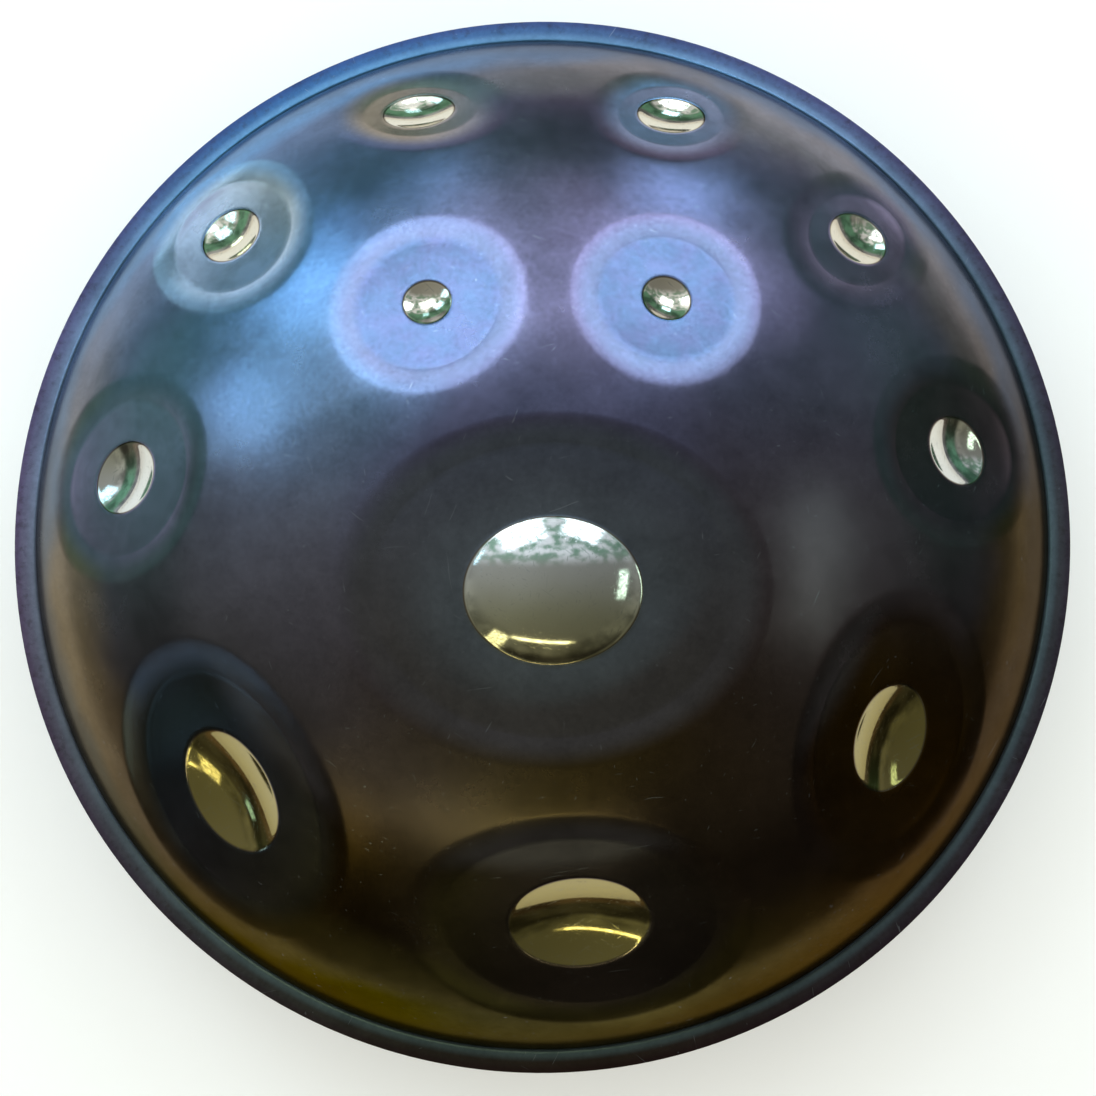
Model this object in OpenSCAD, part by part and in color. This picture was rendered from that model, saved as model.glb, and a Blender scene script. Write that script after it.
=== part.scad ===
// Handpan: two drawn steel shells bonded together at their flanges.
// +Z is up and +Y points away from the player. The origin is the centre of the flat ring around the
// sound port, which the instrument rests on. All lengths are in millimetres and angles in degrees.

/* [Rim] */
// Radius of the rim's outer edge
rim_r = 265; // [255:1:280]
// Width of the flat flange, from the outer edge to the start of the fillet
flange_w = 9; // [7:0.5:12]
// Radius of the concave fillet between flange and wall
fillet_r = 3; // [2:0.5:4]
// Thickness of the steel sheet
sheet_t = 1; // [0.8:0.1:1.5]
// Thickness of the adhesive between the flanges
bond_t = 0.4; // [0.2:0.1:0.8]
// Distance of the adhesive from the flange's outer edge
bond_inset = 0.8; // [0.5:0.1:2]

/* [Shell profile] */
// Radius of the spherical crown
crown_r = 400; // [380:5:430]
// Radius of the shoulder between crown and wall
shoulder_r = 100; // [80:5:110]
// Slope of the wall where it meets the fillet
foot_slope = 60; // [54:1:62]

/* [Sound port] */
// Radius of the port's bore
port_r = 50; // [45:1:55]
// Radius of the roll from the resting ring into the port's neck
port_roll_r = 6; // [4:1:8]
// Length of the straight neck inside the shell
neck_len = 12; // [8:1:16]
// Outer radius of the flat ring that the instrument rests on
rest_ring_r = 70; // [66:1:76]

/* [Tone fields] */
// Depth of the step around a tone field
field_step = 1.2; // [0.8:0.1:2.4]
// Width of the bevel that leads down into a tone field
bevel_w = 12; // [8:0.5:14]
// How the bevel steepens, from 1 for a straight slope to more for a softer start and a sharper crease
bevel_curve = 1.5; // [1:0.1:2.5]
// How far a tone field is flattened, from 0 for the shell's own curve to 1 for flat
flatness = 0.55; // [0.3:0.05:0.8]
// Depth of a dimple as a share of its shorter width
dimple_depth = 0.13; // [0.08:0.01:0.18]
// Height of the dome in the middle of the Ding
ding_height = 9; // [6:0.5:12]

/* [Hidden] */

// The tone layout, one row for each note, hammered by hand and so not regular. In order:
// azimuth from +X, distance from the axis,
// the tone field's length, width and turn, then the dimple's length, width and turn.
// A turn is from the direction along the rim towards the direction down the shell.
DING = [284.5, 38, 185, 149, 14, 77, 63.5, 13];
DIMPLED_NOTES = [
    [276.5, 185.5, 157, 116, 10, 65, 49.5, 5],
    [328, 191.5, 138, 106, -27, 51.5, 40, -26],
    [9, 199, 90, 103, 0, 32, 35.5, 34],
    [41, 203, 72, 96, -3, 29.5, 32.5, 16],
    [71.5, 205.5, 83, 69, -45, 34.5, 26.5, -34],
    [106, 206, 94, 62, 30, 36.5, 26, 23],
    [137, 199.5, 86, 104, 0, 30.5, 34, -10],
    [174.5, 193, 97, 105, -27, 33.5, 39, -27],
    [222.5, 187.5, 150, 110, 20, 61.5, 46, 20],
    [57.5, 110, 84.5, 86, 0, 22.5, 21.5, 7],
    [117, 102, 89, 88, 0, 22.5, 21.5, 48]
];

// The outline of a shell seen from the side, with its mating face at height 0 and its outer
// surface upwards: a spherical crown, a rounder shoulder, a concave fillet and a flat flange.
fillet_centre = [rim_r - flange_w, sheet_t + fillet_r];
foot = fillet_centre - fillet_r * [sin(foot_slope), cos(foot_slope)];
shoulder_centre = foot - shoulder_r * [sin(foot_slope), cos(foot_slope)];
crown_slope = asin(shoulder_centre[0] / (crown_r - shoulder_r));
crown_z = shoulder_centre[1] - (crown_r - shoulder_r) * cos(crown_slope);
rest_ring_slope = asin(rest_ring_r / crown_r);
rest_ring_z = crown_z + crown_r * cos(rest_ring_slope);
bond_z = rest_ring_z;
top_z = bond_z + bond_t;

// Every ring of the top shell's surface: radius, height, slope and number of points around it.
// The number doubles where the rings get long.
crown_edge_r = crown_r * sin(crown_slope);
inner_sectors = 18;
CROWN_ZONES = [[12, 12, 36, 1], [48, 12, 84, 2], [93, 9, 147, 4], [154, 7.6, crown_edge_r, 8]];
rim_sectors = inner_sectors * 8;
shoulder_steps = 3;
edge_chamfer = 0.4;
function crown_ring(r, sectors) =
    [r, crown_z + sqrt(crown_r * crown_r - r * r), asin(r / crown_r), sectors];
function shoulder_ring(slope) =
    concat(shoulder_centre + shoulder_r * [sin(slope), cos(slope)], [slope, rim_sectors]);
function fillet_ring(slope) =
    concat(fillet_centre - fillet_r * [sin(slope), cos(slope)], [slope, rim_sectors]);
RINGS = concat(
    [crown_ring(0, 1)],
    [for (zone = CROWN_ZONES, r = [zone[0]:zone[1]:zone[2]]) crown_ring(r, inner_sectors * zone[3])],
    [for (i = [1:shoulder_steps])
        shoulder_ring(crown_slope + (foot_slope - crown_slope) * i / shoulder_steps)],
    [fillet_ring(foot_slope / 2), fillet_ring(0)],
    [[rim_r - edge_chamfer, sheet_t, 0, rim_sectors]]
);

// A direction at an azimuth and a slope: along the rim, down the shell, and out of the surface.
function along(azimuth) = [-sin(azimuth), cos(azimuth), 0];
function down(azimuth, slope) = [cos(azimuth) * cos(slope), sin(azimuth) * cos(slope), -sin(slope)];
function outward(azimuth, slope) = [cos(azimuth) * sin(slope), sin(azimuth) * sin(slope), cos(slope)];
function on_ring(ring, azimuth) = [ring[0] * cos(azimuth), ring[0] * sin(azimuth), ring[1]];

// Distance of a point from an ellipse's centre, where 1 is the ellipse itself.
function ellipse_distance(p, note, length, width, turn) =
    let (
        centre_ring = crown_ring(note[1], 1),
        from_centre = p - on_ring(centre_ring, note[0]),
        u = from_centre * along(note[0]),
        v = from_centre * down(note[0], centre_ring[2])
    )
    norm([
        (u * cos(turn) + v * sin(turn)) / (length / 2),
        (v * cos(turn) - u * sin(turn)) / (width / 2)
    ]);

// How far a tone field lies below the shell: a bevel that starts softly and ends in a crease, then
// a flattened membrane.
function field_drop(p, note) =
    let (
        e = ellipse_distance(p, note, note[2], note[3], note[4]),
        bevel_share = 2 * bevel_w / min(note[2], note[3]),
        bulge = (note[2] * note[2] + note[3] * note[3]) / (16 * crown_r)
    )
    e >= 1 ? 0
    : field_step * pow(min((1 - e) / bevel_share, 1), bevel_curve) + flatness * bulge * (1 - e * e);
function bowl(p, note, depth) =
    let (e = ellipse_distance(p, note, note[5], note[6], note[7])) e >= 1 ? 0 : depth * (1 - e * e);
function note_offset(p) =
    bowl(p, DING, ding_height) - field_drop(p, DING)
    - max([for (note = DIMPLED_NOTES)
        field_drop(p, note) + bowl(p, note, dimple_depth * min(note[5], note[6]))]);

// One ring of points on the outer face, or on the inner face when depth is the sheet's thickness.
function ring_points(ring, depth) = [
    for (i = [0:ring[3] - 1])
        let (azimuth = 360 * i / ring[3], p = on_ring(ring, azimuth))
        p + (note_offset(p) - depth) * outward(azimuth, ring[2])
];

// Triangles between two neighbouring rings of a and b points, which start at ia and ib.
function band(ia, a, ib, b) =
    a == 1 ? [for (i = [0:b - 1]) [ib + (i + 1) % b, ib + i, ia]]
    : a == b ? [for (i = [0:a - 1]) let (j = (i + 1) % a)
        each [[ib + j, ib + i, ia + i], [ia + j, ib + j, ia + i]]]
    : 2 * a == b ? [for (i = [0:a - 1]) let (j = (i + 1) % a, k = 2 * i, m = (2 * i + 2) % b)
        each [[ib + k + 1, ib + k, ia + i], [ia + j, ib + k + 1, ia + i], [ib + m, ib + k + 1, ia + j]]]
    : [for (f = band(ib, b, ia, a)) [f[2], f[1], f[0]]];
function reversed(list) = [for (i = [len(list) - 1:-1:0]) list[i]];

module top_shell() {
    edge_ring = [rim_r, sheet_t / 2, 0, rim_sectors];
    all_rings = concat(RINGS, [edge_ring], reversed(RINGS));
    points = concat(
        [for (ring = RINGS) each ring_points(ring, 0)],
        [for (i = [0:rim_sectors - 1]) on_ring(edge_ring, 360 * i / rim_sectors)],
        [for (ring = reversed(RINGS)) each ring_points(ring, sheet_t)]
    );
    starts = [for (i = 0, start = 0; i < len(all_rings); start = start + all_rings[i][3], i = i + 1) start];
    faces = [for (i = [0:len(all_rings) - 2])
        each band(starts[i], all_rings[i][3], starts[i + 1], all_rings[i + 1][3])];
    color([0.20, 0.20, 0.27]) translate([0, 0, top_z]) polyhedron(points, faces);
}

// A slice of a circular band of sheet, between two angles from the local +X direction.
module arc_band(centre, outer_r, inner_r, from_angle, to_angle) {
    reach = 2 * outer_r;
    middle = (from_angle + to_angle) / 2;
    translate(centre) intersection() {
        difference() {
            circle(r = outer_r, $fn = 360);
            circle(r = inner_r, $fn = 360);
        }
        polygon([
            [0, 0],
            reach * [cos(from_angle), sin(from_angle)],
            reach * [cos(middle), sin(middle)],
            reach * [cos(to_angle), sin(to_angle)]
        ]);
    }
}

// The outline of the bottom shell's sheet, with its outer surface upwards.
module bottom_section() {
    overlap = 0.05;
    roll_centre = [port_r + port_roll_r, rest_ring_z - port_roll_r];
    arc_band([0, crown_z], crown_r, crown_r - sheet_t, 90 - crown_slope, 90 - rest_ring_slope + overlap);
    arc_band(shoulder_centre, shoulder_r, shoulder_r - sheet_t, 90 - foot_slope - overlap, 90 - crown_slope);
    arc_band(fillet_centre, fillet_r + sheet_t, fillet_r, 270 - foot_slope, 270);
    translate([fillet_centre[0], 0]) square([flange_w - sheet_t / 2, sheet_t]);
    translate([rim_r - sheet_t / 2, sheet_t / 2]) circle(d = sheet_t, $fn = 48);
    translate([roll_centre[0], rest_ring_z - sheet_t]) square([rest_ring_r - roll_centre[0], sheet_t]);
    arc_band(roll_centre, port_roll_r, port_roll_r - sheet_t, 90, 180);
    translate([port_r, roll_centre[1] - neck_len]) square([sheet_t, neck_len]);
}

module bottom_shell() {
    color([0.17, 0.17, 0.22]) translate([0, 0, bond_z]) mirror([0, 0, 1])
        rotate_extrude($fn = 180) bottom_section();
}

module rim_bond() {
    color([0.06, 0.06, 0.07]) translate([0, 0, bond_z]) difference() {
        cylinder(r = rim_r - bond_inset, h = bond_t, $fn = 180);
        translate([0, 0, -bond_t]) cylinder(r = fillet_centre[0], h = 3 * bond_t, $fn = 180);
    }
}

top_shell();
bottom_shell();
rim_bond();
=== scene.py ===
"""The looks of a handpan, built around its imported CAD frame.

Everything is in metres and in the CAD's frame: +Z is up, +Y points away from the player, and the
origin is the centre of the flat ring around the sound port, which the instrument rests on.
"""

import math
from typing import NamedTuple

import bpy
import numpy as np
from mathutils import Matrix, Vector, geometry


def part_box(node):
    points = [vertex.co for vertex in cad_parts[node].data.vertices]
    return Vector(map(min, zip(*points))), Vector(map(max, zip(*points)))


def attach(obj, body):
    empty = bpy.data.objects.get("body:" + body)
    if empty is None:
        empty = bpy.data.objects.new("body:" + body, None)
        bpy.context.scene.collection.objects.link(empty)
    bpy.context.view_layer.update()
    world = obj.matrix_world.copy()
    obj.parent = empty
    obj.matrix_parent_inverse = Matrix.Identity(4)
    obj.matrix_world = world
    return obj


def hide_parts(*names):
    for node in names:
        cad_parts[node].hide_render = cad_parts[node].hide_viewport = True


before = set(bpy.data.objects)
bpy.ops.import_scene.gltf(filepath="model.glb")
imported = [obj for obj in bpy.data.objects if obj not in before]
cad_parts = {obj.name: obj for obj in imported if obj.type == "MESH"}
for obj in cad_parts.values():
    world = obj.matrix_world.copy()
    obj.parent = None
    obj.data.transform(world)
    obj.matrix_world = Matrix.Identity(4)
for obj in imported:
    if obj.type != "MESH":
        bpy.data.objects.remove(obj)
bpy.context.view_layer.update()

MM = 0.001

# ---------------------------------------------------------------- driving dimensions

# The shell's profile, as in the CAD, with heights from the top shell's mating face.
RIM_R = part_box("top_shell")[1].x
MATING_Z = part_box("top_shell")[0].z
SHEET = 1 * MM
FLANGE_W = 9 * MM
FILLET_R = 3 * MM
CROWN_R = 400 * MM
SHOULDER_R = 100 * MM
FOOT_SLOPE = math.radians(60)

# The tone fields and their dimples, as in the CAD.
FIELD_STEP = 1.2 * MM
BEVEL_W = 12 * MM
BEVEL_CURVE = 1.5
FLATNESS = 0.55
DIMPLE_DEPTH = 0.13
DING_HEIGHT = 9 * MM

# How far the polished edge of each dimple is rounded, which the CAD leaves sharp.
EDGE_ROUND = 1.3 * MM


class Ellipse(NamedTuple):
    """An ellipse on the shell. Its turn is from the way along the rim towards the way down the shell."""

    length: float
    width: float
    turn: float


class Note(NamedTuple):
    """A tone field and its dimple, at an azimuth from +X and a distance from the axis."""

    azimuth: float
    distance: float
    field: Ellipse
    dimple: Ellipse


def note_in_mm(azimuth, distance, length, width, turn, dimple_length, dimple_width, dimple_turn):
    """A note from millimetres and degrees."""
    return Note(
        math.radians(azimuth),
        distance * MM,
        Ellipse(length * MM, width * MM, math.radians(turn)),
        Ellipse(dimple_length * MM, dimple_width * MM, math.radians(dimple_turn)),
    )


DING = note_in_mm(284.5, 38, 185, 149, 14, 77, 63.5, 13)
DIMPLED_NOTES = [
    note_in_mm(276.5, 185.5, 157, 116, 10, 65, 49.5, 5),
    note_in_mm(328, 191.5, 138, 106, -27, 51.5, 40, -26),
    note_in_mm(9, 199, 90, 103, 0, 32, 35.5, 34),
    note_in_mm(41, 203, 72, 96, -3, 29.5, 32.5, 16),
    note_in_mm(71.5, 205.5, 83, 69, -45, 34.5, 26.5, -34),
    note_in_mm(106, 206, 94, 62, 30, 36.5, 26, 23),
    note_in_mm(137, 199.5, 86, 104, 0, 30.5, 34, -10),
    note_in_mm(174.5, 193, 97, 105, -27, 33.5, 39, -27),
    note_in_mm(222.5, 187.5, 150, 110, 20, 61.5, 46, 20),
    note_in_mm(57.5, 110, 84.5, 86, 0, 22.5, 21.5, 7),
    note_in_mm(117, 102, 89, 88, 0, 22.5, 21.5, 48),
]

# Values worked out from those above.
FILLET_CENTRE = np.array([RIM_R - FLANGE_W, SHEET + FILLET_R])
FOOT_DIRECTION = np.array([math.sin(FOOT_SLOPE), math.cos(FOOT_SLOPE)])
FOOT = FILLET_CENTRE - FILLET_R * FOOT_DIRECTION
SHOULDER_CENTRE = FOOT - SHOULDER_R * FOOT_DIRECTION
CROWN_SLOPE = math.asin(SHOULDER_CENTRE[0] / (CROWN_R - SHOULDER_R))
CROWN_EDGE_R = CROWN_R * math.sin(CROWN_SLOPE)
CROWN_Z = SHOULDER_CENTRE[1] - (CROWN_R - SHOULDER_R) * math.cos(CROWN_SLOPE)

# ---------------------------------------------------------------- shape of the shell


def profile(radius):
    """Height above the mating face and slope of a shell's outer face, at each radius."""
    crown_height = CROWN_Z + np.sqrt(np.maximum(CROWN_R**2 - radius**2, 0))
    shoulder_reach = np.clip(radius - SHOULDER_CENTRE[0], 0, SHOULDER_R)
    shoulder_height = SHOULDER_CENTRE[1] + np.sqrt(SHOULDER_R**2 - shoulder_reach**2)
    fillet_reach = np.clip(FILLET_CENTRE[0] - radius, 0, FILLET_R)
    fillet_height = FILLET_CENTRE[1] - np.sqrt(FILLET_R**2 - fillet_reach**2)
    zones = [radius < CROWN_EDGE_R, radius < FOOT[0]]
    height = np.select(zones, [crown_height, shoulder_height], fillet_height)
    crown_slope = np.arcsin(np.clip(radius / CROWN_R, 0, 1))
    shoulder_slope = np.arcsin(shoulder_reach / SHOULDER_R)
    slope = np.select(zones, [crown_slope, shoulder_slope], np.arcsin(fillet_reach / FILLET_R))
    return height, slope


def outward(azimuth, slope):
    """The way out of the shell at an azimuth and a slope."""
    flat = np.sin(slope)
    return np.stack([np.cos(azimuth) * flat, np.sin(azimuth) * flat, np.cos(slope)], axis=-1)


def tangent_frame(note):
    """A note's centre on the base shell, with the ways along the rim, down the shell and out of it."""
    height, slope = profile(np.array(note.distance))
    radial = np.array([math.cos(note.azimuth), math.sin(note.azimuth), 0])
    up = np.array([0, 0, 1])
    centre = note.distance * radial + height * up
    along = np.array([-radial[1], radial[0], 0])
    down = np.cos(slope) * radial - np.sin(slope) * up
    return centre, along, down, outward(note.azimuth, slope)


def ellipse_distance(points, note, ellipse):
    """Distance of each point from an ellipse's centre, where 1 is the ellipse itself."""
    centre, along, down, _ = tangent_frame(note)
    u = (points - centre) @ along
    v = (points - centre) @ down
    cos, sin = math.cos(ellipse.turn), math.sin(ellipse.turn)
    lengthways = (u * cos + v * sin) / (ellipse.length / 2)
    crossways = (v * cos - u * sin) / (ellipse.width / 2)
    return np.hypot(lengthways, crossways)


def smooth_step(x):
    """From 0 to 1 with level ends, as x goes from 0 to 1."""
    t = np.clip(x, 0, 1)
    return t * t * (3 - 2 * t)


def bevel_share(field):
    """The bevel's width as a share of the field's shorter half width."""
    return 2 * BEVEL_W / min(field.length, field.width)


def field_drop(points, note):
    """How far a tone field lies below the shell: a bevel ending in a crease, then a flattened membrane."""
    e = ellipse_distance(points, note, note.field)
    bulge = (note.field.length**2 + note.field.width**2) / (16 * CROWN_R)
    step = FIELD_STEP * np.clip((1 - e) / bevel_share(note.field), 0, 1) ** BEVEL_CURVE
    return np.where(e < 1, step + FLATNESS * bulge * (1 - e**2), 0)


def bowl(points, note, depth):
    """A dimple's own shape, a shallow bowl with a slightly rounded edge."""
    inside = 1 - ellipse_distance(points, note, note.dimple) ** 2
    soft = 4 * EDGE_ROUND / min(note.dimple.length, note.dimple.width)
    rounded = np.maximum(inside + soft, 0) ** 2 / (4 * soft)
    return depth * np.where(inside > soft, inside, rounded)


def note_offset(points):
    """How far each point of the base shell is moved outwards by the tone layout."""
    drops = [
        field_drop(points, n) + bowl(points, n, DIMPLE_DEPTH * min(n.dimple.length, n.dimple.width))
        for n in DIMPLED_NOTES
    ]
    return bowl(points, DING, DING_HEIGHT) - field_drop(points, DING) - np.max(drops, axis=0)


def hammering(points, seed, height=0.06 * MM, waves=28):
    """Faint unevenness left by the hammer: a sum of short waves in random directions."""
    rng = np.random.default_rng(seed)
    total = np.zeros(len(points))
    for _ in range(waves):
        direction = rng.normal(size=3)
        length = rng.uniform(26, 75) * MM
        step = direction / np.linalg.norm(direction) * math.tau / length
        total += np.sin(points @ step + rng.uniform(0, math.tau))
    return total * height * math.sqrt(2 / waves)


def shell_points(plan, depth=0.0):
    """Points of the top shell above these places in plan, on its outer face or at a depth below it."""
    radius = np.hypot(plan[:, 0], plan[:, 1])
    height, slope = profile(radius)
    base = np.column_stack([plan, height])
    calm_at_foot = smooth_step((FOOT[0] - radius) / (20 * MM))
    offset = note_offset(base) + hammering(base, seed=7) * calm_at_foot - depth
    moved = base + offset[:, None] * outward(np.arctan2(plan[:, 1], plan[:, 0]), slope)
    return moved + [0, 0, MATING_Z]


# ---------------------------------------------------------------- meshes

# Points around each full ring, and the spacing of points along a dimple's outline, across a
# membrane and over the open shell.
SECTORS = 240
DIMPLE_STEP = 1.2 * MM
MEMBRANE_STEP = 3.4 * MM
GRID_STEP = 3.5 * MM

# The open shell's points keep this far from a tone field, as a share of the field's half width.
FIELD_CLEARANCE = 1.045

# The flange and the inner face count as this far outside the nearest note.
FAR_GAP = 50 * MM


def circle_plan(radius, count):
    """Evenly spaced points around a circle in plan."""
    angle = np.arange(count) * math.tau / count
    return radius * np.column_stack([np.cos(angle), np.sin(angle)])


def on_shell(note, u, v):
    """Places in plan of the base shell's points at (u, v) in a note's tangent plane."""
    centre, along, down, out = tangent_frame(note)
    point = centre + u[:, None] * along + v[:, None] * down
    # A few steps along the note's own way out bring each point onto the curved shell.
    for _ in range(12):
        miss = point[:, 2] - profile(np.hypot(point[:, 0], point[:, 1]))[0]
        point = point - (miss * out[2])[:, None] * out
    return point[:, :2]


def ellipse_reach(ellipse, angle):
    """Distance from an ellipse's centre to its outline, in each direction in the tangent plane."""
    own = angle - ellipse.turn
    return 1 / np.hypot(np.cos(own) / (ellipse.length / 2), np.sin(own) / (ellipse.width / 2))


def ellipse_perimeter(ellipse):
    """Length of an ellipse's outline, near enough for spacing points."""
    return math.pi * math.hypot(ellipse.length, ellipse.width) / math.sqrt(2)


def note_rings(note):
    """Rings of places in plan over a note, and which of them is its dimple's outline.

    Each ring has its share of the dimple's size, its share of the field's size, and the number that
    its points are thinned by. The rings go from the middle of the dimple to just outside the field.
    """
    count = 4 * round(ellipse_perimeter(note.dimple) / DIMPLE_STEP / 4)
    half = min(note.dimple.length, note.dimple.width) / 2
    # Close rings over the rounded edge, and wider ones inside it, with fewer points near the middle.
    edge = 1 + EDGE_ROUND / half * np.linspace(-1.4, 1.4, 7)
    inner = np.linspace(0.08, edge[0] - EDGE_ROUND / half, 11)
    rings = [(share, 0, 1 if share > 0.55 else 2 if share > 0.25 else 4) for share in inner]
    outline_at = len(rings) + len(edge) // 2
    rings += [(share, 0, 1) for share in edge]
    # Over the membrane the rings change from the dimple's shape to the field's.
    flat_edge = 1 - bevel_share(note.field)
    membrane_steps = round(0.5 * min(note.field.length, note.field.width) * flat_edge / MEMBRANE_STEP)
    rings += [(edge[-1], t**1.25 * flat_edge, 1) for t in np.linspace(0, 1, membrane_steps)[1:]]
    # One ring just past the crease keeps it sharp, and the others cover the bevel.
    just_past_crease = flat_edge + 0.5 * MM * bevel_share(note.field) / BEVEL_W
    rings += [(1, just_past_crease, 1)]
    rings += [(1, e, 1) for e in np.linspace(flat_edge, 1.02, 10)[1:]]
    plans = []
    for dimple_share, field_share, thinned in rings:
        angle = np.arange(count // thinned) * math.tau / (count // thinned)
        dimple = ellipse_reach(note.dimple, angle) * dimple_share
        field = ellipse_reach(note.field, angle)
        blend = min(field_share / flat_edge, 1)
        reach = dimple * (1 - blend) + field * max(field_share, flat_edge) * blend
        plans.append(on_shell(note, reach * np.cos(angle), reach * np.sin(angle)))
    return plans, outline_at


def grid_plan():
    """Places in plan on the open shell between the tone fields."""
    rings = round(FOOT[0] / GRID_STEP)
    radii = np.arange(1, rings) * FOOT[0] / rings
    plan = np.vstack([circle_plan(r, round(math.tau * r / GRID_STEP)) for r in radii])
    base = np.column_stack([plan, profile(np.hypot(plan[:, 0], plan[:, 1]))[0]])
    clear = np.full(len(plan), True)
    for n in [DING, *DIMPLED_NOTES]:
        clear &= ellipse_distance(base, n, n.field) > FIELD_CLEARANCE
    return plan[clear]


def ring_edges(start, count):
    """The edges of a closed ring of points that starts at an index."""
    return [(start + i, start + (i + 1) % count) for i in range(count)]


def top_face():
    """The top shell's outer face up to its foot: places in plan, the foot's ring first, and triangles."""
    parts = [circle_plan(FOOT[0], SECTORS), grid_plan()]
    edges = ring_edges(0, SECTORS)
    start = sum(map(len, parts))
    for n in [DING, *DIMPLED_NOTES]:
        plans, outline_at = note_rings(n)
        outline_start = start + sum(map(len, plans[:outline_at]))
        edges += ring_edges(outline_start, len(plans[outline_at]))
        parts += plans
        start += sum(map(len, plans))
    plan = np.vstack(parts)
    points, _, faces, *_ = geometry.delaunay_2d_cdt([Vector(p) for p in plan], edges, [], 0, 1e-9)
    return np.array([tuple(p) for p in points]), [list(f) for f in faces]


def rim_profile():
    """Radius, height and slope of each ring of the fillet, and of the flange up to its rounded edge."""
    arc = np.linspace(FOOT_SLOPE, 0, 7)[1:]
    fillet = [(*(FILLET_CENTRE - FILLET_R * np.array([math.sin(s), math.cos(s)])), s) for s in arc]
    flange = [(RIM_R - inset * MM, SHEET, 0) for inset in (6, 3, 1.2, 0.5)]
    return fillet, flange


def band_faces(first, second, count):
    """Quads between two rings of the same number of points."""
    return [
        [first + i, second + i, second + (i + 1) % count, first + (i + 1) % count] for i in range(count)
    ]


def lathe_ring(radius, height):
    """One ring of points around the axis."""
    circle = circle_plan(radius, SECTORS)
    return np.column_stack([circle, np.full(SECTORS, height)])


def edge_rings(top_height, bottom_height):
    """The rounded outer edge of a sheet between two heights."""
    middle = (top_height + bottom_height) / 2
    half = (top_height - bottom_height) / 2
    turns = np.linspace(math.pi / 2, -math.pi / 2, 9)
    return [lathe_ring(RIM_R - half + half * math.cos(t), middle + half * math.sin(t)) for t in turns]


def top_shell_rings():
    """Rings after the foot's: the fillet, the flange, its edge, and the whole inner face to the middle."""
    fillet, flange = rim_profile()
    rings = [lathe_ring(radius, height + MATING_Z) for radius, height, _ in fillet + flange]
    rings += edge_rings(MATING_Z + SHEET, MATING_Z)
    for radius, height, slope in reversed(fillet):
        inner_radius = radius - SHEET * math.sin(slope)
        rings.append(lathe_ring(inner_radius, height - SHEET * math.cos(slope) + MATING_Z))
    inner_radii = np.linspace(FOOT[0], 5 * MM, 52)
    rings += [shell_points(circle_plan(r, SECTORS), SHEET) for r in inner_radii]
    return rings


def new_object(name, points, faces):
    """A smooth-shaded mesh object from points and faces."""
    mesh = bpy.data.meshes.new(name)
    mesh.from_pydata([tuple(p) for p in points], [], faces)
    mesh.polygons.foreach_set("use_smooth", [True] * len(mesh.polygons))
    mesh.update()
    made = bpy.data.objects.new(name, mesh)
    bpy.context.scene.collection.objects.link(made)
    return made


def add_ringed_surface(points, faces, first_ring, rings):
    """Adds rings to a mesh, each joined to the one before it and the first to first_ring, and closes it."""
    previous = first_ring
    for ring in rings:
        start = len(points)
        points.extend(ring)
        faces.extend(band_faces(previous, start, SECTORS))
        previous = start
    points.append(np.mean(rings[-1], axis=0))
    centre = len(points) - 1
    faces.extend([[previous + i, centre, previous + (i + 1) % SECTORS] for i in range(SECTORS)])


def nearest_gap(base, outlines):
    """Distance of each point outside the nearest of some ellipses, below 0 inside, in metres."""
    gaps = [
        (ellipse_distance(base, n, ellipse) - 1) * min(ellipse.length, ellipse.width) / 2
        for n, ellipse in outlines
    ]
    return np.min(gaps, axis=0)


def set_attribute(mesh, name, values):
    """A number at each vertex, which the materials read by name."""
    attribute = mesh.attributes.new(name, "FLOAT", "POINT")
    attribute.data.foreach_set("value", np.asarray(values, np.float32))


def mark_gap(mesh, name, base, outlines):
    """Gives each vertex its distance outside the nearest ellipse. Those after base's are far away."""
    gap = np.full(len(mesh.vertices), FAR_GAP)
    gap[: len(base)] = nearest_gap(base, outlines)
    set_attribute(mesh, name, gap)
    return gap


def build_top_shell():
    """The top shell: a fine outer face whose triangles follow every dimple, and a plain inner face."""
    plan, faces = top_face()
    points = list(shell_points(plan))
    add_ringed_surface(points, faces, 0, top_shell_rings())
    shell = new_object("top_shell_steel", points, faces)
    base = np.column_stack([plan, profile(np.hypot(plan[:, 0], plan[:, 1]))[0]])
    every_note = [DING, *DIMPLED_NOTES]
    mark_gap(shell.data, "field_gap", base, [(n, n.field) for n in every_note])
    dimple_gap = mark_gap(shell.data, "dimple_gap", base, [(n, n.dimple) for n in every_note])
    on_outline = 0.001 * MM
    polished = [max(dimple_gap[v] for v in face) < on_outline for face in faces]
    shell.data.polygons.foreach_set("material_index", np.array(polished, np.int32))
    return shell


# ---------------------------------------------------------------- materials


def srgb(red, green, blue):
    """A colour from 0 to 255 as the linear values that the shaders take."""
    parts = [c / 255 for c in (red, green, blue)]
    return (*[c / 12.92 if c <= 0.04045 else ((c + 0.055) / 1.055) ** 2.4 for c in parts], 1)


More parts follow.
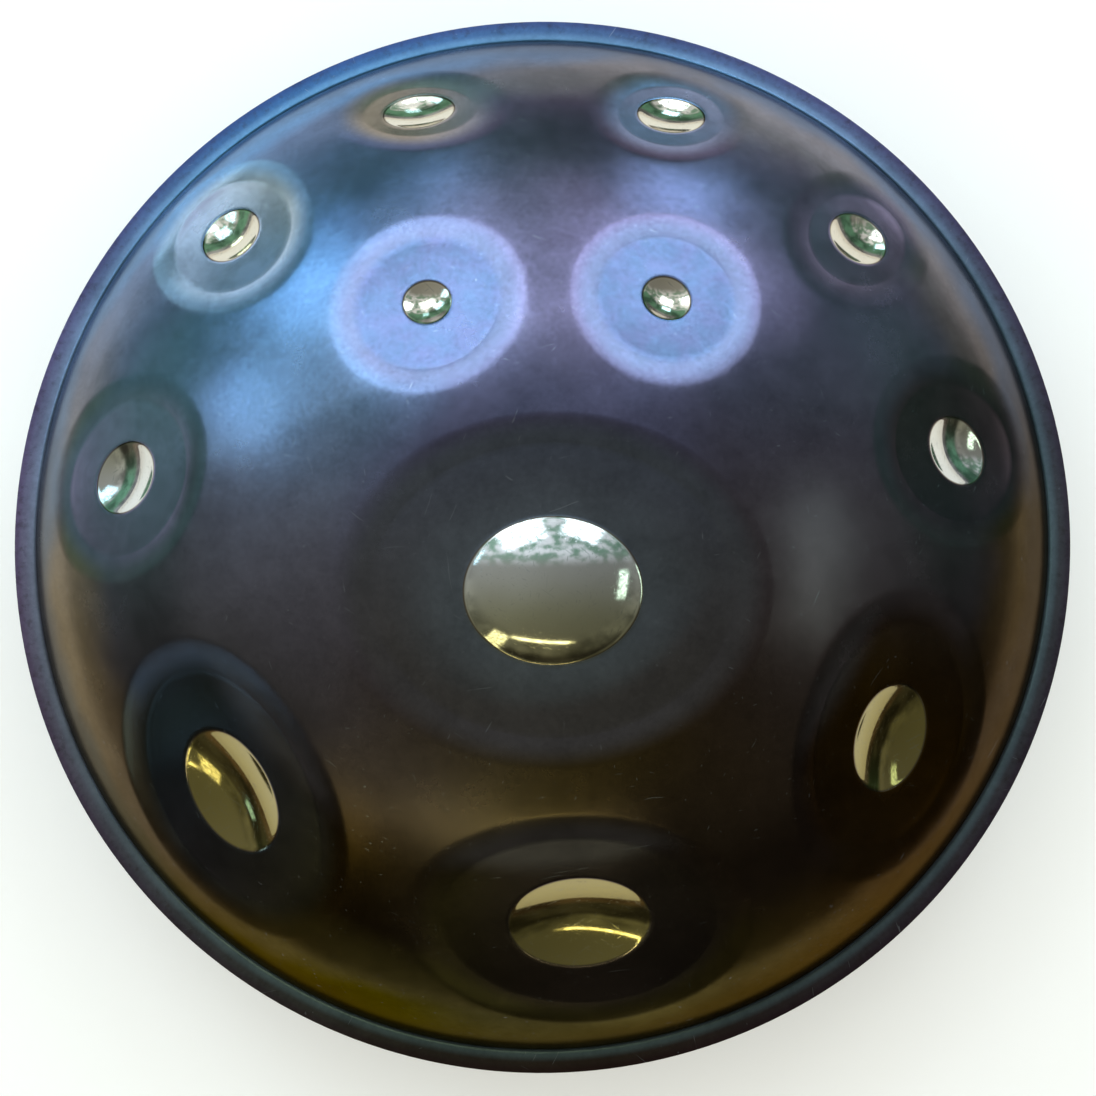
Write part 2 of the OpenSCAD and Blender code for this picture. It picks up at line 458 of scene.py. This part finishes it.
class Paint:
    """A material, lamp or world in the making. Most calls add nodes and give back an output socket."""

    def __init__(self, material):
        self.material = material
        self.material.use_nodes = True
        self.tree = self.material.node_tree
        self.tree.nodes.clear()

    @classmethod
    def surface(cls, name):
        """A new material for a piece."""
        return cls(bpy.data.materials.new(name))

    @classmethod
    def world(cls, name):
        """A new world for the scene."""
        bpy.context.scene.world = bpy.data.worlds.new(name)
        return cls(bpy.context.scene.world)

    def node(self, kind, inputs=None, output=0, **settings):
        """A node, with plain values or other nodes' outputs for its inputs, by name or number."""
        made = self.tree.nodes.new(kind)
        for key, value in settings.items():
            setattr(made, key, value)
        for key, value in (inputs or {}).items():
            if isinstance(value, bpy.types.NodeSocket):
                self.tree.links.new(value, made.inputs[key])
            else:
                made.inputs[key].default_value = value
        return made.outputs[output]

    def end(self, kind, shader):
        """Makes a shader what the material, lamp or world gives."""
        output = self.tree.nodes.new(kind)
        self.tree.links.new(shader, output.inputs["Surface"])

    def place(self):
        """The place on the piece, in its own frame."""
        return self.node("ShaderNodeTexCoord", output="Object")

    def coordinate(self, axis, place):
        """One coordinate of a place."""
        return self.node("ShaderNodeSeparateXYZ", {"Vector": place}, output=axis)

    def number(self, name):
        """A number that the mesh has at each vertex."""
        return self.node("ShaderNodeAttribute", output="Fac", attribute_name=name)

    def math(self, operation, a, b=0.0):
        """A sum, product or other function of one or two numbers."""
        return self.node("ShaderNodeMath", {0: a, 1: b}, operation=operation)

    def plus(self, total, pattern, strength):
        """A total with a pattern added at some strength."""
        return self.math("ADD", total, self.math("MULTIPLY", pattern, strength))

    def spread(self, value, low, high, to_low=0.0, to_high=1.0):
        """value's range from low to high, smoothly stretched to another."""
        inputs = {"Value": value, "From Min": low, "From Max": high, "To Min": to_low, "To Max": to_high}
        return self.node("ShaderNodeMapRange", inputs, interpolation_type="SMOOTHSTEP")

    def mix(self, share, a, b, blend="MIX"):
        """Two colours mixed, from a where share is 0 to b where it is 1."""
        # The node's colour sockets go by number, because its other kinds of mix have the same names.
        inputs = {0: share, 6: a, 7: b}
        return self.node("ShaderNodeMix", inputs, output=2, data_type="RGBA", blend_type=blend)

    def shaded(self, colour, level):
        """A colour made darker where a level is below 1, and lighter where it is above."""
        grey = self.node("ShaderNodeCombineColor", {0: level, 1: level, 2: level})
        return self.mix(1.0, colour, grey, "MULTIPLY")

    def noise(self, place, size, detail=3.0, roughness=0.5, output=0):
        """Soft noise whose patches are about size across."""
        inputs = {"Vector": place, "Scale": 1 / size, "Detail": detail, "Roughness": roughness}
        return self.node("ShaderNodeTexNoise", inputs, output)

    def vector(self, operation, a, b):
        """A sum or product of two places, coordinate by coordinate."""
        return self.node("ShaderNodeVectorMath", {0: a, 1: b}, operation=operation)

    def polar(self, place):
        """A place's distance from the axis, and its turn round it from 0 to 1."""
        x = self.coordinate("X", place)
        y = self.coordinate("Y", place)
        flat = self.vector("MULTIPLY", place, (1, 1, 0))
        reach = self.node("ShaderNodeVectorMath", {0: flat}, output="Value", operation="LENGTH")
        turns = self.math("DIVIDE", self.math("ARCTAN2", y, x), math.tau)
        return reach, self.math("FRACT", self.math("ADD", turns, 1.0))

    def wandering(self, place, size, reach):
        """The place moved about softly and at random, by up to about half of reach each way."""
        wander = self.noise(place, size, output="Color")
        centred = self.vector("SUBTRACT", wander, (0.5, 0.5, 0.5))
        shift = self.vector("MULTIPLY", centred, (reach, reach, reach))
        return self.vector("ADD", place, shift)

    def stretched(self, place, turn, stretch):
        """The place turned about the axis and squeezed along one way, for long thin marks."""
        inputs = {"Vector": place, "Rotation": (0, 0, math.radians(turn)), "Scale": (stretch, 1, 1)}
        return self.node("ShaderNodeMapping", inputs, vector_type="TEXTURE")

    def together(self, *parts):
        """Several shares multiplied together."""
        total = parts[0]
        for part in parts[1:]:
            total = self.math("MULTIPLY", total, part)
        return total

    def finish(self, colour, roughness, bump, bump_depth, **settings):
        """The surface itself, with its bump in metres."""
        inputs = {"Height": bump, "Distance": bump_depth, "Strength": 1.0}
        normal = self.node("ShaderNodeBump", inputs)
        surface = {"Base Color": colour, "Roughness": roughness, "Normal": normal}
        shader = self.node("ShaderNodeBsdfPrincipled", surface | settings)
        self.end("ShaderNodeOutputMaterial", shader)
        return self.material


def hairlines(paint, place, turns, size, keep, stretch=45):
    """Fine, slightly curved scratches in several directions, from 0 to 1."""
    curved = paint.wandering(place, 80 * MM, 20 * MM)
    total = None
    for turn in turns:
        lines = paint.noise(paint.stretched(curved, turn, stretch), size, detail=0.0)
        line = paint.spread(lines, keep, keep + 0.04)
        total = line if total is None else paint.math("MAXIMUM", total, line)
    return total


def specks(paint, place, size, keep):
    """Small round marks in loose groups, from 0 to 1."""
    dots = paint.spread(paint.noise(place, size, detail=0.0), keep, keep + 0.03)
    groups = paint.spread(paint.noise(place, 50 * MM, detail=1.0), 0.45, 0.6)
    return paint.math("MULTIPLY", dots, groups)


# Colours of the heat-treated steel, roughly from the palest to the darkest: heat tint, and on the top shell
# also painted reflection.
LINEN = (174, 160, 146)
LAVENDER = (144, 138, 170)
FROST = (150, 156, 188)
AZURE = (122, 166, 216)
PALE_BLUE = (118, 142, 184)
PEARL = (136, 133, 143)
SAND = (140, 130, 120)
PALE_LILAC = (128, 120, 152)
STEEL = (118, 127, 140)
SKY_BLUE = (110, 131, 164)
PEWTER = (118, 120, 140)
HAZE = (112, 104, 130)
LILAC = (98, 104, 136)
BRASS = (98, 90, 54)
VIOLET = (94, 91, 117)
SLATE = (94, 94, 104)
NAVY = (78, 104, 146)
ROSE = (94, 86, 96)
OCHRE = (84, 71, 52)
UMBER = (76, 68, 60)
DUSK = (78, 72, 82)
RUST = (76, 62, 57)
INK = (68, 67, 73)
OLIVE = (67, 61, 36)
BROWN = (63, 54, 49)
BRONZE = (72, 54, 32)

# How they follow each other round the axis, evenly spaced from +X: first the open shell from the
# Ding outwards, then the outer tone fields, the flanges and the under side. Apart from the under side,
# the pale blues towards the far side and the dark browns and olives towards the player are painted
# reflection, of bright daylight on the far side and a dark near side, laid over the heat tint.
INNER_TEMPER_AND_REFLECTION = [ROSE, VIOLET, PALE_LILAC, SKY_BLUE, PEWTER, ROSE, OCHRE, RUST]
MIDDLE_TEMPER_AND_REFLECTION = [ROSE, PALE_LILAC, HAZE, PALE_BLUE, PEWTER, BROWN, BROWN, RUST]
SHOULDER_TEMPER_AND_REFLECTION = [OCHRE, PEARL, PEARL, PALE_BLUE, SAND, OCHRE, BRASS, BRONZE]
BAND_TEMPER_AND_REFLECTION = [UMBER, SKY_BLUE, SKY_BLUE, AZURE, STEEL, OLIVE, OLIVE, BRONZE]
FIELD_TEMPER_AND_REFLECTION = [
    DUSK, ROSE, LAVENDER, FROST, FROST, LINEN, FROST, FROST,
    LAVENDER, INK, INK, OLIVE, BROWN, BROWN, BRONZE, BRONZE,
]
FLANGE_TEMPER_AND_REFLECTION = [SLATE, LILAC, NAVY, NAVY, LAVENDER, SLATE, BROWN, DUSK]
UNDER_TEMPER = [SLATE, LILAC, VIOLET, NAVY, SLATE, VIOLET, LILAC, NAVY]

# Colours of single places.
DING_NEAR = (95, 90, 94)
DING_FAR = (99, 104, 120)
DOME_HALO = (112, 118, 130)
INNER_NOTE_BLUE = (98, 116, 148)
INNER_NOTE_LILAC = (108, 112, 148)
# Paler lilac for the inner notes' bevels: tint and painted highlight.
INNER_NOTE_BEVEL_TINT_AND_HIGHLIGHT = (122, 124, 150)
# A painted highlight along the fillet between the flange and the shell.
FILLET_HIGHLIGHT = (68, 94, 106)
# Painted shade, a little purple, on the flange's outer edge where it rounds away.
EDGE_SHADE_TINT = (235, 212, 228)
# Tints of the polished steel; the gold and the cream paint the colours that it mirrors.
GOLD_REFLECTION_TINT = (162, 146, 92)
POLISHED_WHITE = (226, 226, 224)
CREAM_REFLECTION_TINT = (226, 214, 196)
POLISHED_CLOUD = (150, 140, 112)
# A painted dark reflection along the inside of each dimple's edge.
DIMPLE_EDGE_DARK_REFLECTION = (110, 98, 84)
ADHESIVE_DARK = (22, 21, 21)
ADHESIVE_LIGHT = (48, 46, 44)

# Fine scratches and specks, on the top shell, the bottom shell and the polished steel.
TOP_MARKS = (170, 174, 186)
UNDER_MARKS = (160, 164, 176)
POLISHED_MARKS = (150, 150, 150)

# The oxide film takes away most of the white gleam that bare steel has along its edges.
OXIDE_FILM = {"Metallic": 1.0, "Specular Tint": (0.55, 0.5, 0.45, 1)}

# Where the Ding and the inner notes give way to the outer notes, as distances from the axis, and
# where the Ding gives way to the inner notes, as places along Y.
INNER_TO_OUTER = (150 * MM, 165 * MM)
DING_TO_INNER_Y = (42 * MM, 48 * MM)


def around(paint, turn, colours):
    """Colours that follow each other round the axis, as turn goes from 0 to 1."""
    made = paint.tree.nodes.new("ShaderNodeValToRGB")
    paint.tree.links.new(turn, made.inputs["Fac"])
    ramp = made.color_ramp
    ramp.interpolation = "CARDINAL"
    ring = [*colours, colours[0]]
    for i, colour in enumerate(ring):
        stop = ramp.elements[i] if i < 2 else ramp.elements.new(1)
        stop.position = i / len(colours)
        stop.color = srgb(*colour)
    return made.outputs["Color"]


def from_rim(paint, reach, start, end):
    """From 0 to 1 between two distances in from the rim's outer edge, given in millimetres."""
    return paint.spread(reach, RIM_R - start * MM, RIM_R - end * MM)


def heat_tint_and_reflection_rings(paint, place, rings):
    """The colours at each place: violet in the middle, then rings from distances in millimetres; on the top
    shell they are heat tint with painted reflection.
    """
    reach, turn = paint.polar(paint.wandering(place, 110 * MM, 50 * MM))
    colour = srgb(*VIOLET)
    for colours, start, end in rings:
        takes_over = paint.spread(reach, start * MM, end * MM)
        colour = paint.mix(takes_over, colour, around(paint, turn, colours))
    return colour


def mottled(paint, colour, place):
    """A colour made unevenly lighter and darker, and the two larger of the three patterns that do it."""
    clouds = paint.noise(place, 45 * MM, detail=4, roughness=0.55)
    fine = paint.noise(place, 12 * MM, detail=7, roughness=0.68)
    grain = paint.noise(place, 2.2 * MM, detail=3, roughness=0.6)
    shade = 0.225
    for pattern, strength in ((clouds, 0.55), (fine, 0.6), (grain, 0.4)):
        shade = paint.plus(shade, pattern, strength)
    return paint.shaded(colour, shade), clouds, fine


def inner_note_colour(paint, place, field_gap):
    """The blued membrane of the two inner notes, paler on their bevels with a lilac tint that also paints
    their highlight.
    """
    patches = paint.noise(place, 14 * MM, detail=4, roughness=0.6)
    patched = paint.spread(patches, 0.25, 0.8)
    membrane = paint.mix(patched, srgb(*INNER_NOTE_BLUE), srgb(*INNER_NOTE_LILAC))
    # The bevels' paler lilac is a tint and also a painted highlight.
    bevel = paint.spread(field_gap, -14 * MM, -9 * MM)
    return paint.mix(paint.math("MULTIPLY", bevel, 0.6), membrane, srgb(*INNER_NOTE_BEVEL_TINT_AND_HIGHLIGHT))


def flange_colour(paint, place, reach, turn):
    """The flange: bright beside the fillet with a painted highlight, worn to brown in small spots, and
    tinted darker at its edge as painted shade.
    """
    # The flange's colours round the axis are heat tint with painted reflection: blue on the far side, brown
    # towards the player.
    flange = around(paint, turn, FLANGE_TEMPER_AND_REFLECTION)
    # Painted highlight beside the fillet, screened over the flange.
    fillet_highlight = paint.mix(1.0, flange, srgb(*FILLET_HIGHLIGHT), "SCREEN")
    worn = paint.spread(paint.noise(place, 4.5 * MM, detail=6, roughness=0.7), 0.48, 0.7)
    flange = paint.mix(paint.math("MULTIPLY", worn, 0.4), flange, srgb(*BROWN))
    # Painted shade on the outermost few millimetres of the flange, darker and purpler.
    shaded_edge = paint.mix(1.0, flange, srgb(*EDGE_SHADE_TINT), "MULTIPLY")
    flange = paint.mix(from_rim(paint, reach, 5, 1), flange, shaded_edge)
    return paint.mix(from_rim(paint, reach, 4.8, 8.8), flange, fillet_highlight)


def top_colour(paint, place, on_flange):
    """The top shell's colours, heat tint with painted reflection, highlight and shade: the open shell, and
    over it the Ding, the notes and the flange.
    """
    reach, turn = paint.polar(place)
    y = paint.coordinate("Y", place)
    field_gap = paint.number("field_gap")
    dimple_gap = paint.number("dimple_gap")
    # Paler and bluer towards the far side and darker towards the player: painted reflection over the heat
    # tint.
    shell_rings = [
        (INNER_TEMPER_AND_REFLECTION, 45, 90),
        (MIDDLE_TEMPER_AND_REFLECTION, 110, 170),
        (SHOULDER_TEMPER_AND_REFLECTION, 195, 218),
        (BAND_TEMPER_AND_REFLECTION, 226, 241),
    ]
    base = heat_tint_and_reflection_rings(paint, place, shell_rings)

    in_field = paint.spread(field_gap, 1 * MM, -9 * MM)
    central = paint.together(in_field, paint.spread(reach, *reversed(INNER_TO_OUTER)))
    in_ding = paint.together(central, paint.spread(y, *reversed(DING_TO_INNER_Y)))
    ding = paint.mix(paint.spread(y, -70 * MM, 40 * MM), srgb(*DING_NEAR), srgb(*DING_FAR))
    base = paint.mix(in_ding, base, ding)
    near_dimple = paint.spread(dimple_gap, 30 * MM, 0.0)
    round_dome = paint.together(near_dimple, paint.spread(reach, 90 * MM, 80 * MM))
    base = paint.mix(round_dome, base, srgb(*DOME_HALO))

    # The outer fields' colours are heat tint with painted reflection: pale on the far side, dark brown and
    # olive on the player's side.
    within_bevel = paint.spread(field_gap, -2 * MM, -13 * MM)
    outer_field = paint.together(within_bevel, paint.spread(reach, *INNER_TO_OUTER))
    base = paint.mix(outer_field, base, around(paint, turn, FIELD_TEMPER_AND_REFLECTION))

    in_inner_note = paint.together(central, paint.spread(y, *DING_TO_INNER_Y))
    base = paint.mix(in_inner_note, base, inner_note_colour(paint, place, field_gap))
    return paint.mix(on_flange, base, flange_colour(paint, place, reach, turn))


def nitrided_steel():
    """The hammered, heat-treated steel of the top shell."""
    paint = Paint.surface("nitrided_steel_top")
    place = paint.place()
    reach, _ = paint.polar(place)
    on_flange = from_rim(paint, reach, 12.5, 11.5)
    base, clouds, fine = mottled(paint, top_colour(paint, place, on_flange), place)
    scratches = hairlines(paint, place, (12, 63, 101, 148), 0.9 * MM, 0.85)
    dots = specks(paint, place, 1.8 * MM, 0.83)
    marks = [paint.math("MULTIPLY", scratches, 0.34), paint.math("MULTIPLY", dots, 0.22)]
    marked = paint.mix(paint.math("MAXIMUM", *marks), base, srgb(*TOP_MARKS))
    rough = 0.18
    for pattern, strength in ((clouds, 0.1), (fine, 0.05), (on_flange, 0.14)):
        rough = paint.plus(rough, pattern, strength)
    grain = paint.math("MULTIPLY", paint.noise(place, 1.2 * MM, detail=3), 0.25)
    bump = paint.math("SUBTRACT", grain, paint.math("MULTIPLY", scratches, 0.4))
    return paint.finish(marked, rough, bump, 0.01 * MM, **OXIDE_FILM)


def polished_steel():
    """The bare, polished steel of the dimples and of the Ding's dome, warmer on the player's side and
    creamier on the far side as painted reflection.
    """
    paint = Paint.surface("polished_steel")
    place = paint.place()
    dimple_gap = paint.number("dimple_gap")
    y = paint.coordinate("Y", place)
    # Gold towards the player and cream on the far side: painted reflection of warm light and a cream floor,
    # tinting what the steel mirrors.
    base = paint.mix(paint.spread(y, -85 * MM, -20 * MM), srgb(*GOLD_REFLECTION_TINT), srgb(*POLISHED_WHITE))
    base = paint.mix(paint.spread(y, 0.0, 80 * MM), base, srgb(*CREAM_REFLECTION_TINT))
    cloud = paint.noise(place, 15 * MM, detail=4)
    base = paint.mix(paint.math("MULTIPLY", cloud, 0.25), base, srgb(*POLISHED_CLOUD))
    # Painted dark reflection: the rounded lip of each dimple, darker within a millimetre of its edge.
    base = paint.mix(paint.spread(dimple_gap, -0.9 * MM, -0.2 * MM), base, srgb(*DIMPLE_EDGE_DARK_REFLECTION))
    scratches = hairlines(paint, place, (30, 80, 140), 0.6 * MM, 0.76)
    scratched = paint.mix(paint.math("MULTIPLY", scratches, 0.3), base, srgb(*POLISHED_MARKS))
    rough = paint.plus(paint.plus(0.05, cloud, 0.05), scratches, 0.15)
    bump = paint.math("SUBTRACT", paint.math("MULTIPLY", cloud, 0.5), scratches)
    return paint.finish(scratched, rough, bump, 0.003 * MM, Metallic=1.0)


def bottom_steel():
    """The bottom shell's heat-treated steel, plainer and cooler than the top's."""
    paint = Paint.surface("nitrided_steel_bottom")
    place = paint.place()
    # The flange ring takes the top flange's colours, heat tint with painted reflection.
    base = heat_tint_and_reflection_rings(paint, place, [(UNDER_TEMPER, 60, 130), (FLANGE_TEMPER_AND_REFLECTION, 212, 255)])
    base, clouds, fine = mottled(paint, base, place)
    scratches = hairlines(paint, place, (20, 75, 130), 1.1 * MM, 0.82)
    scratched = paint.mix(paint.math("MULTIPLY", scratches, 0.3), base, srgb(*UNDER_MARKS))
    rough = paint.plus(paint.plus(0.24, clouds, 0.12), fine, 0.06)
    grain = paint.noise(place, 1.2 * MM, detail=3)
    return paint.finish(scratched, rough, grain, 0.004 * MM, **OXIDE_FILM)


def adhesive():
    """The dark adhesive between the flanges."""
    paint = Paint.surface("rim_adhesive")
    place = paint.place()
    lumps = paint.noise(place, 3 * MM, detail=4)
    colour = paint.mix(lumps, srgb(*ADHESIVE_DARK), srgb(*ADHESIVE_LIGHT))
    return paint.finish(colour, paint.plus(0.4, lumps, 0.3), lumps, 0.1 * MM)


# ---------------------------------------------------------------- stage, lights and camera

# Distance of the lamps from the instrument, and half the floor's width.
LAMP_DISTANCE = 1.5
FLOOR_HALF = 10.0


def dapple(light, seed):
    """Makes a lamp fade towards its edges and unevenly bright, like daylight through leaves."""
    paint = Paint(light)
    spot = paint.node("ShaderNodeNewGeometry", output="Parametric")
    shifted = paint.vector("ADD", spot, (seed, 0, 0))
    level = paint.spread(paint.noise(shifted, 0.09, detail=3), 0.44, 0.6, 0.2, 2.6)
    for axis in ("X", "Y"):
        across = paint.coordinate(axis, spot)
        from_middle = paint.math("ABSOLUTE", paint.math("SUBTRACT", across, 0.5))
        level = paint.together(level, paint.spread(from_middle, 0.5, 0.3))
    paint.end("ShaderNodeOutputLight", paint.node("ShaderNodeEmission", {"Strength": level}))


def add_light(name, azimuth, elevation, size, radiance, colour):
    """A soft box aimed at the instrument, of that brightness whatever its size."""
    centre = Vector((0, 0, MATING_Z))
    bearing, up = math.radians(azimuth), math.radians(elevation)
    away = Vector((math.cos(bearing) * math.cos(up), math.sin(bearing) * math.cos(up), math.sin(up)))
    light = bpy.data.lights.new(name, "AREA")
    light.shape = "RECTANGLE"
    light.size, light.size_y = size
    light.energy = radiance * math.pi * size[0] * size[1]
    light.color = colour
    dapple(light, azimuth)
    lamp = bpy.data.objects.new(name, light)
    lamp.location = centre + LAMP_DISTANCE * away
    lamp.rotation_euler = away.to_track_quat("Z", "Y").to_euler()
    lamp.visible_camera = False
    bpy.context.scene.collection.objects.link(lamp)


def light_scene():
    """Daylight on the far side, golden light on the near side, one lamp below, and a fill for the floor."""
    daylight = (0.72, 0.87, 1.0)
    blue_sky = (0.42, 0.78, 1.0)
    greenish = (0.72, 1.0, 0.82)
    golden = (1.0, 1.0, 0.55)
    # Name, azimuth and elevation in degrees, size in metres, brightness and colour.
    soft_boxes = [
        ("far_right", 66, 40, (0.75, 0.6), 2.4, daylight),
        ("far_middle", 115, 45, (0.85, 0.55), 2.4, daylight),
        ("left", 155, 33, (0.38, 0.44), 1.9, blue_sky),
        ("far_left", 131, 28, (0.5, 0.42), 2.3, blue_sky),
        ("low_right", 70, 22, (0.38, 0.26), 3.6, blue_sky),
        ("low_middle", 105, 21, (0.26, 0.26), 1.2, blue_sky),
        ("low_left", 134, 2, (0.36, 0.16), 2.6, greenish),
        ("side_left", 208, 18, (0.2, 0.16), 1.5, blue_sky),
        ("side_right", -4, 42, (0.7, 0.2), 1.5, greenish),
        ("near_left", 234, 31, (0.32, 0.3), 2.0, golden),
        ("near_strip", 264, 38, (1.1, 0.07), 5.0, golden),
        ("under", 270, -80, (2.0, 2.0), 1.2, daylight),
    ]
    for name, azimuth, elevation, size, radiance, colour in soft_boxes:
        add_light("softbox_" + name, azimuth, elevation, size, radiance, colour)
    # The steel doesn't mirror the fill, so it lights little but the floor.
    fill = bpy.data.lights.new("floor_fill", "SUN")
    fill.energy = 2.2
    fill.angle = math.radians(120)
    fill.color = (1.0, 0.96, 0.93)
    lamp = bpy.data.objects.new("floor_fill", fill)
    lamp.visible_glossy = False
    bpy.context.scene.collection.objects.link(lamp)


def light_room():
    """The dim room that the steel mirrors, and the plain pale background that the camera sees.

    The room has brown to grey ground, then dark walls, greener on the far side. Above them the far
    side has pale sky through leaves, and the rest is grey.
    """
    paint = Paint.world("room")
    way = paint.node("ShaderNodeTexCoord", output="Generated")
    across, away, up = [paint.coordinate(axis, way) for axis in "XYZ"]
    # Each pair of colours goes from the player's side to the far side.
    ground = paint.mix(paint.spread(away, -0.4, 0.4), (0.12, 0.09, 0.06, 1), (0.27, 0.3, 0.33, 1))
    low = paint.mix(paint.spread(away, -0.35, 0.35), (0.06, 0.06, 0.045, 1), (0.1, 0.24, 0.17, 1))
    low = paint.mix(paint.spread(up, 0.04, 0.16), ground, low)
    overhead = paint.mix(paint.spread(away, -0.6, 0.3), (0.2, 0.21, 0.15, 1), (0.28, 0.3, 0.29, 1))

    leaves = paint.spread(paint.noise(way, 0.11, detail=3), 0.42, 0.6)
    sky = paint.mix(leaves, (0.9, 1.0, 1.1, 1), (0.22, 0.4, 0.32, 1))
    high = paint.mix(paint.spread(away, 0.22, 0.5), overhead, sky)
    walls = paint.mix(paint.spread(up, 0.36, 0.46), low, high)

    # The left is brighter than the right, and the brightness is patchy except overhead.
    colour = paint.shaded(walls, paint.spread(across, -0.8, 0.8, 1.2, 0.75))
    patches = paint.spread(paint.noise(way, 0.25, detail=3), 0.35, 0.65, 0.5, 1.5)
    even_overhead = paint.spread(paint.spread(up, 0.45, 0.7), 0, 1, patches, 1.0)
    colour = paint.shaded(colour, even_overhead)
    seen = paint.node("ShaderNodeLightPath", output="Is Camera Ray")
    colour = paint.mix(seen, colour, (0.86, 0.87, 0.87, 1))
    paint.end("ShaderNodeOutputWorld", paint.node("ShaderNodeBackground", {"Color": colour}))


def add_floor():
    """A plain pale floor under the instrument."""
    corners = [(x * FLOOR_HALF, y * FLOOR_HALF, 0) for x, y in ((-1, -1), (1, -1), (1, 1), (-1, 1))]
    floor = new_object("floor", corners, [[0, 1, 2, 3]])
    paint = Paint.surface("pale_floor")
    mottle = paint.noise(paint.place(), 300 * MM, detail=4)
    colour = paint.mix(mottle, srgb(240, 240, 240), srgb(246, 246, 245))
    floor.data.materials.append(paint.finish(colour, 0.8, mottle, 0.1 * MM))
    open_from_below(paint)


def open_from_below(paint):
    """Makes a surface clear from behind and to lamps, so that the under side can be lit and seen."""
    output = paint.tree.nodes["Material Output"]
    shader = output.inputs["Surface"].links[0].from_socket
    clear = paint.node("ShaderNodeBsdfTransparent")
    from_behind = paint.node("ShaderNodeNewGeometry", output="Backfacing")
    to_lamp = paint.node("ShaderNodeLightPath", output="Is Shadow Ray")
    let_through = paint.math("MAXIMUM", from_behind, to_lamp)
    either = paint.node("ShaderNodeMixShader", {0: let_through, 1: shader, 2: clear})
    paint.tree.links.new(either, output.inputs["Surface"])


def add_camera():
    """A camera almost straight above the instrument, tilted a little towards the far side."""
    camera = bpy.data.cameras.new("camera")
    camera.sensor_width = 36
    camera.lens = 38.96
    camera.clip_start = 0.01
    seen_from = bpy.data.objects.new("camera", camera)
    to_the_right = 17.8 * MM
    towards_player = 60.4 * MM
    above_flange = 592.15 * MM
    place = Matrix.Translation((to_the_right, -towards_player, MATING_Z + SHEET + above_flange))
    tilt = Matrix.Rotation(math.radians(4.84), 4, "X")
    lean = Matrix.Rotation(math.radians(1.21), 4, "Y")
    seen_from.matrix_world = place @ tilt @ lean
    bpy.context.scene.collection.objects.link(seen_from)
    bpy.context.scene.camera = seen_from
    bpy.context.scene.view_settings.view_transform = "Standard"


# ---------------------------------------------------------------- assembly

add_camera()
add_floor()
light_scene()
light_room()

top_shell = build_top_shell()
top_shell.data.materials.append(nitrided_steel())
top_shell.data.materials.append(polished_steel())
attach(top_shell, "root")
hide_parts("top_shell")

for node, material in (("bottom_shell", bottom_steel()), ("rim_bond", adhesive())):
    for material_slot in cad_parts[node].material_slots:
        material_slot.material = material
